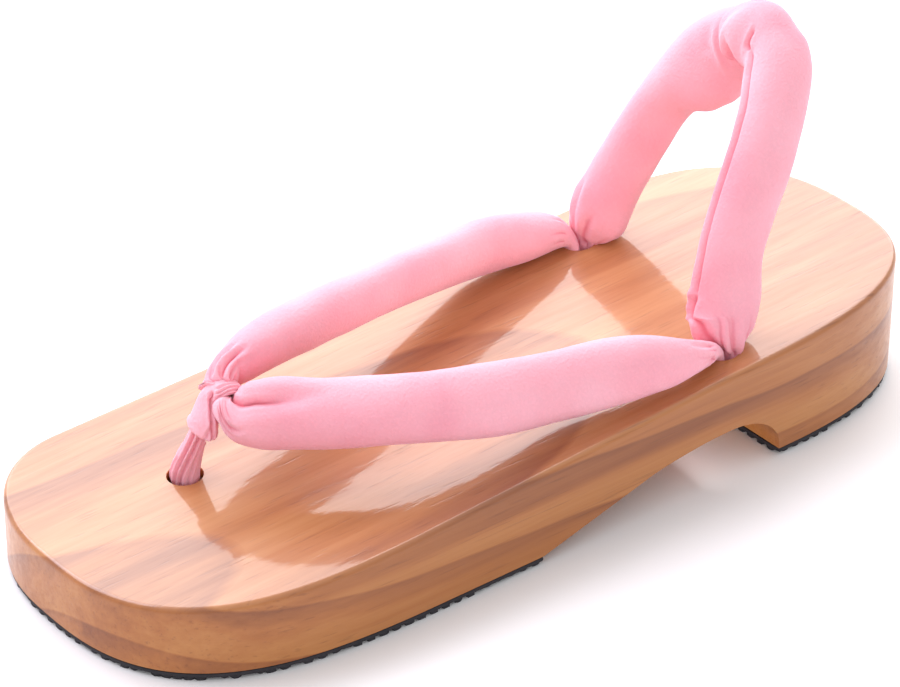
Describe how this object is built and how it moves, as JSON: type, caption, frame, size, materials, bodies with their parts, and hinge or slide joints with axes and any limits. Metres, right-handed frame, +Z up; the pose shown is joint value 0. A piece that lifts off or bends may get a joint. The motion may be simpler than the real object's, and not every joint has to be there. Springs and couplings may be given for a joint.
{
  "type": "geta sandal",
  "caption": "Left geta sandal: wooden deck with an arched underside on rubber pads, stuffed V strap held by a toe strap, and a stuffed strap behind the heel.",
  "frame": {"origin": "on the floor under the middle of the deck, at the bottom centre of the sandal's box", "axes": "+X to the toe, +Y to the wearer's left, the outer side, +Z up"},
  "size_m": [0.24, 0.0912, 0.0998],
  "materials": {
    "wood": "clear lacquered light brown wood with long straight grain",
    "rubber": "black rubber with a fine knobbly tread",
    "crepe": "matt pink crepe fabric over soft stuffing"
  },
  "bodies": {
    "root": {"wood_deck": "wood", "forefoot_pad": "rubber", "heel_pad": "rubber", "instep_strap": "crepe", "toe_strap": "crepe", "heel_strap": "crepe"}
  },
  "joints": []
}
